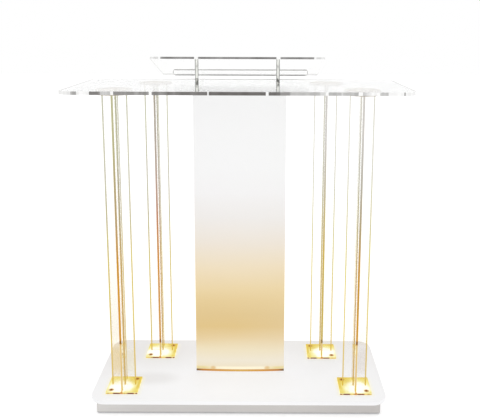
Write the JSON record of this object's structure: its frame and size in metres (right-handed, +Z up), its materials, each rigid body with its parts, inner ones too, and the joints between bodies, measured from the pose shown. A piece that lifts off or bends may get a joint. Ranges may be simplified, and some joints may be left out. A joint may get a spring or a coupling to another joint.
{
  "type": "presentation lectern",
  "caption": "Free-standing presentation lectern: sloped clear reading board on a clear shelf, cross-shaped clear legs, a bowed frosted centre panel and a lit white base.",
  "frame": {"origin": "on the floor below the middle of the shelf", "axes": "+Z up, -Y towards the audience, +Y towards the speaker, +X to the right seen from the audience"},
  "size_m": [1.038, 0.4655, 1.11],
  "materials": {
    "acrylic_clear": "polished",
    "acrylic_leg": "polished",
    "acrylic_foot": "polished",
    "panel_frosted": "satin",
    "base_white": "satin",
    "plinth_white": "satin",
    "block_wood": "matte",
    "cover_grey": "matte",
    "pad_rubber": "matte",
    "screw_brass": "satin",
    "clip_brass": "satin",
    "screw_steel": "satin",
    "heat_spreader": "satin",
    "led_light": "gloss",
    "driver_case": "satin",
    "switch_black": "satin",
    "terminal_plastic": "satin",
    "wire_insulation": "satin"
  },
  "bodies": {
    "lectern": {"base_pads": "pad_rubber", "base_plate": "base_white", "board_bracket_left": "acrylic_clear", "board_bracket_right": "acrylic_clear", "board_lip": "acrylic_clear", "bottom_cover": "cover_grey", "bottom_cover_screws": "screw_steel", "case_screws": "screw_steel", "centre_panel": "panel_frosted", "foot_screws": "screw_brass", "led_channel": "heat_spreader", "led_diffuser": "led_light", "led_driver": "driver_case", "led_lens_front_left": "led_light", "led_lens_front_right": "led_light", "led_lens_rear_left": "led_light", "led_lens_rear_right": "led_light", "led_module_front_left": "heat_spreader", "led_module_front_right": "heat_spreader", "led_module_rear_left": "heat_spreader", "led_module_rear_right": "heat_spreader", "led_strip": "led_light", "leg_front_left_fin_left": "acrylic_leg", "leg_front_left_fin_right": "acrylic_leg", "leg_front_left_foot": "acrylic_foot", "leg_front_left_top_disc": "acrylic_clear", "leg_front_left_web": "acrylic_leg", "leg_front_right_fin_left": "acrylic_leg", "leg_front_right_fin_right": "acrylic_leg", "leg_front_right_foot": "acrylic_foot", "leg_front_right_top_disc": "acrylic_clear", "leg_front_right_web": "acrylic_leg", "leg_rear_left_fin_left": "acrylic_leg", "leg_rear_left_fin_right": "acrylic_leg", "leg_rear_left_foot": "acrylic_foot", "leg_rear_left_top_disc": "acrylic_clear", "leg_rear_left_web": "acrylic_leg", "leg_rear_right_fin_left": "acrylic_leg", "leg_rear_right_fin_right": "acrylic_leg", "leg_rear_right_foot": "acrylic_foot", "leg_rear_right_top_disc": "acrylic_clear", "leg_rear_right_web": "acrylic_leg", "light_wires": "wire_insulation", "panel_clip_screws": "screw_brass", "panel_clips": "clip_brass", "plinth_corner_blocks": "block_wood", "plinth_front_rail": "plinth_white", "plinth_left_rail": "plinth_white", "plinth_rear_rail_left": "plinth_white", "plinth_rear_rail_right": "plinth_white", "plinth_right_rail": "plinth_white", "power_inlet": "switch_black", "power_inlet_nut": "screw_steel", "power_plate": "screw_steel", "power_wires": "wire_insulation", "reading_board": "acrylic_clear", "shelf": "acrylic_clear", "switch_housing": "switch_black", "terminal_block": "terminal_plastic"},
    "rocker": {"switch_rocker": "switch_black"}
  },
  "joints": [
    {"name": "switch_rock", "type": "hinge", "parent": "lectern", "child": "rocker", "pos_m": [-0.13, 0.167, 0.031], "axis": [0, 0, 1], "range_deg": [-16, 0]}
  ]
}
